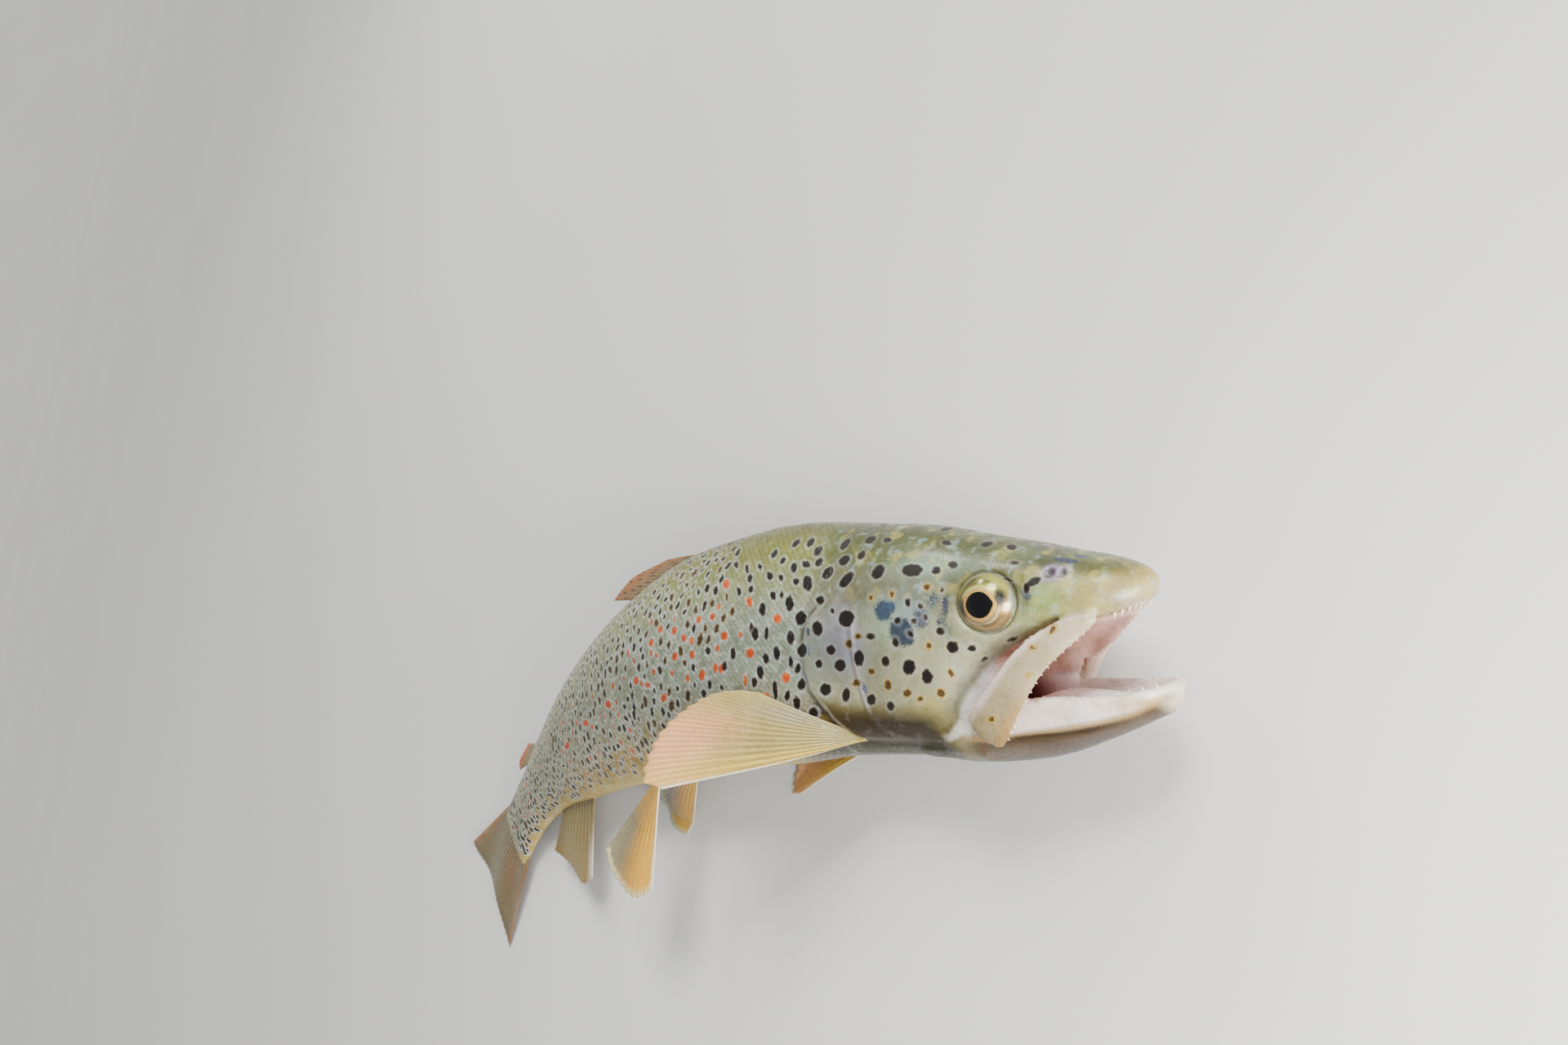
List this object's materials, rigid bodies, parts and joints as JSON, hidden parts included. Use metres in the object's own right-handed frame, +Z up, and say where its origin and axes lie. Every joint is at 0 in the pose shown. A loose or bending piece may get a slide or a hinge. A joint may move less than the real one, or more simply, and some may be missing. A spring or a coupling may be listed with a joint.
{
  "type": "brown trout",
  "caption": "Life-size still model of a brown trout lying on its left side, body curved towards the belly and mouth open, with head, jaws, gill covers, eyes, trunk, tail and fins.",
  "frame": {"origin": "on the ground under the middle of the fish's bounding box", "axes": "+X towards the snout and along the fish's longest extent, +Y towards its back, +Z up, which is the fish's right side"},
  "size_m": [0.3606, 0.1914, 0.0645],
  "materials": {
    "skin": "wet scaled skin, olive back, silver flank with dark and orange-red spots",
    "mouth": "wet pink-white flesh",
    "fin": "translucent yellow-olive membrane with brown rays",
    "eye": "clear wet cornea over a gold and copper iris with a black pupil"
  },
  "bodies": {
    "root": {"head": "skin", "lower_jaw": "skin", "tongue": "mouth", "throat": "skin", "maxilla_right": "skin", "gill_cover_right": "skin", "eye_right": "eye", "maxilla_left": "skin", "gill_cover_left": "skin", "eye_left": "eye", "trunk_front": "skin", "trunk_rear": "skin", "tail": "skin", "caudal_fin": "fin", "dorsal_fin": "fin", "adipose_fin": "fin", "anal_fin": "fin", "pelvic_fin_right": "fin", "pelvic_fin_left": "fin", "pectoral_fin_right": "fin", "pectoral_fin_left": "fin"}
  },
  "joints": []
}
